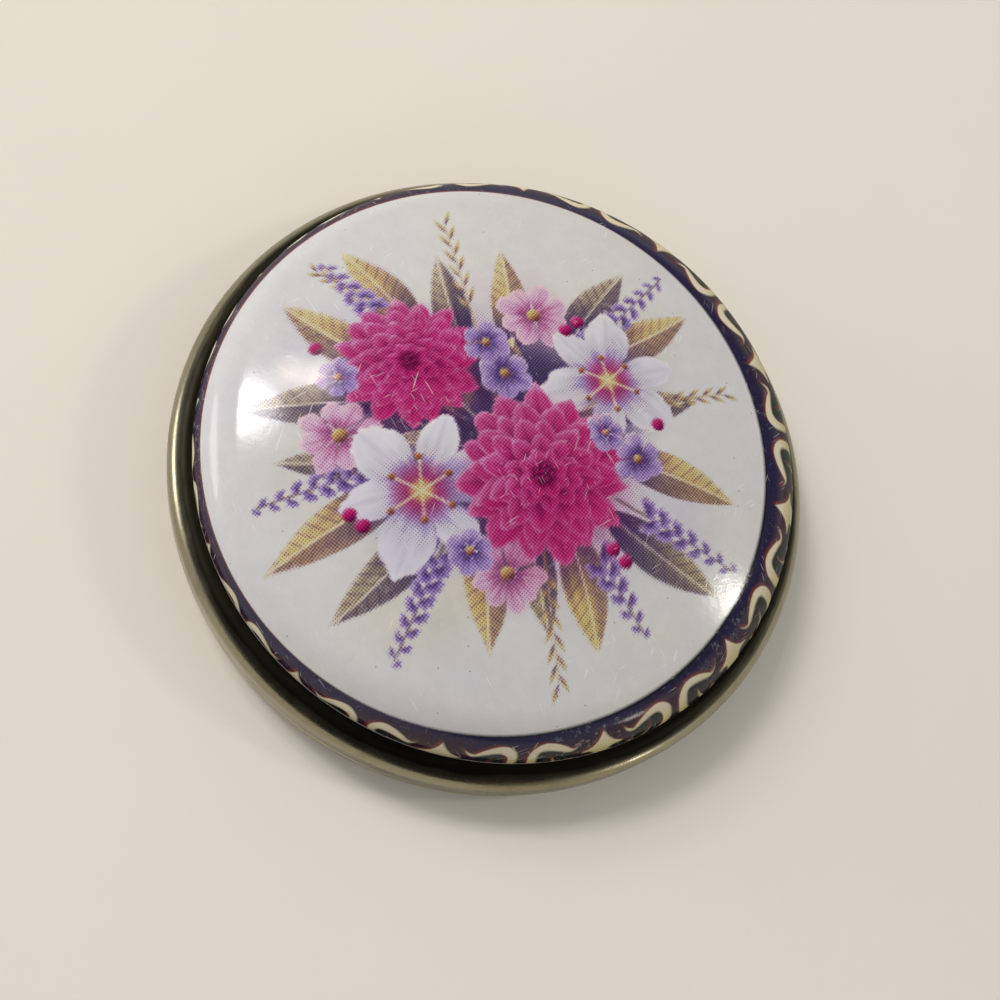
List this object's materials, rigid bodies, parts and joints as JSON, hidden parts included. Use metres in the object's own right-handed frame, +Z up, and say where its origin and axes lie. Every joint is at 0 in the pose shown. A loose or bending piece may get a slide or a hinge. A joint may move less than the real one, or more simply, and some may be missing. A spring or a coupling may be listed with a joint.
{
  "type": "sewing tin",
  "caption": "Round tinplate tin with a domed printed slip lid, a rolled stop bead and a curled-on bottom plate, for sewing notions.",
  "frame": {"origin": "centre of the foot ring, on the surface the tin stands on", "axes": "+Z up along the tin's axis of revolution, the way the lid lifts; +X and +Y across, +Y towards the top of the lid's picture"},
  "size_m": [0.0754, 0.0754, 0.0189],
  "materials": {
    "lid_lacquer": "glossy printed lacquer, flowers on cream with a navy border",
    "body_tinplate": "bright drawn tinplate under pale gold lacquer",
    "bottom_tinplate": "bright rolled tinplate under pale gold lacquer"
  },
  "bodies": {
    "tin_body": {"body": "body_tinplate", "bottom_plate": "bottom_tinplate"},
    "lid": {"lid": "lid_lacquer"}
  },
  "joints": [
    {"name": "lid_lift", "type": "slide", "parent": "tin_body", "child": "lid", "axis": [0, 0, 1], "range_m": [0, 0.025]}
  ]
}
